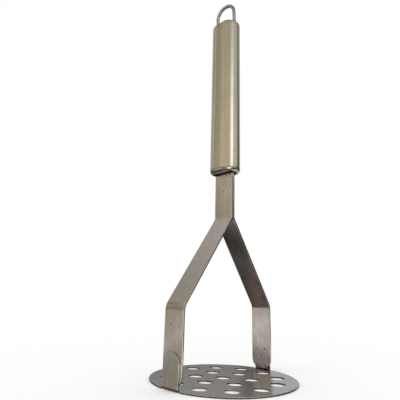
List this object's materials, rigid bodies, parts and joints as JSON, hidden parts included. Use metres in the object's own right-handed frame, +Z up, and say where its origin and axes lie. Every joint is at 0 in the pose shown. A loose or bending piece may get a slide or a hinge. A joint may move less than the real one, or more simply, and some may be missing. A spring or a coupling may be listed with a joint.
{
  "type": "potato masher",
  "caption": "Potato masher of stainless steel: a round perforated disc held by two bent straps, with a hollow oval grip and a wire loop to hang it by.",
  "frame": {"origin": "centre of the disc's underside, which is what the masher stands on", "axes": "+Z up along the grip, +X from the disc's centre towards the right leg, +Y across the width of the straps and of the oval grip"},
  "size_m": [0.0892, 0.09, 0.2749],
  "materials": {
    "sheet_steel": "satin",
    "strap_steel": "satin, fine grain along the strap",
    "grip_steel": "satin, fine grain along the grip",
    "wire_steel": "drawn wire, satin",
    "weld_steel": "brushed weld bead"
  },
  "bodies": {
    "root": {"mashing_disc": "sheet_steel", "left_leg": "strap_steel", "right_leg": "strap_steel", "lower_cap": "grip_steel", "grip_tube": "grip_steel", "upper_cap": "grip_steel", "hanging_loop": "wire_steel", "shank_welds": "weld_steel", "loop_welds": "weld_steel"}
  },
  "joints": []
}
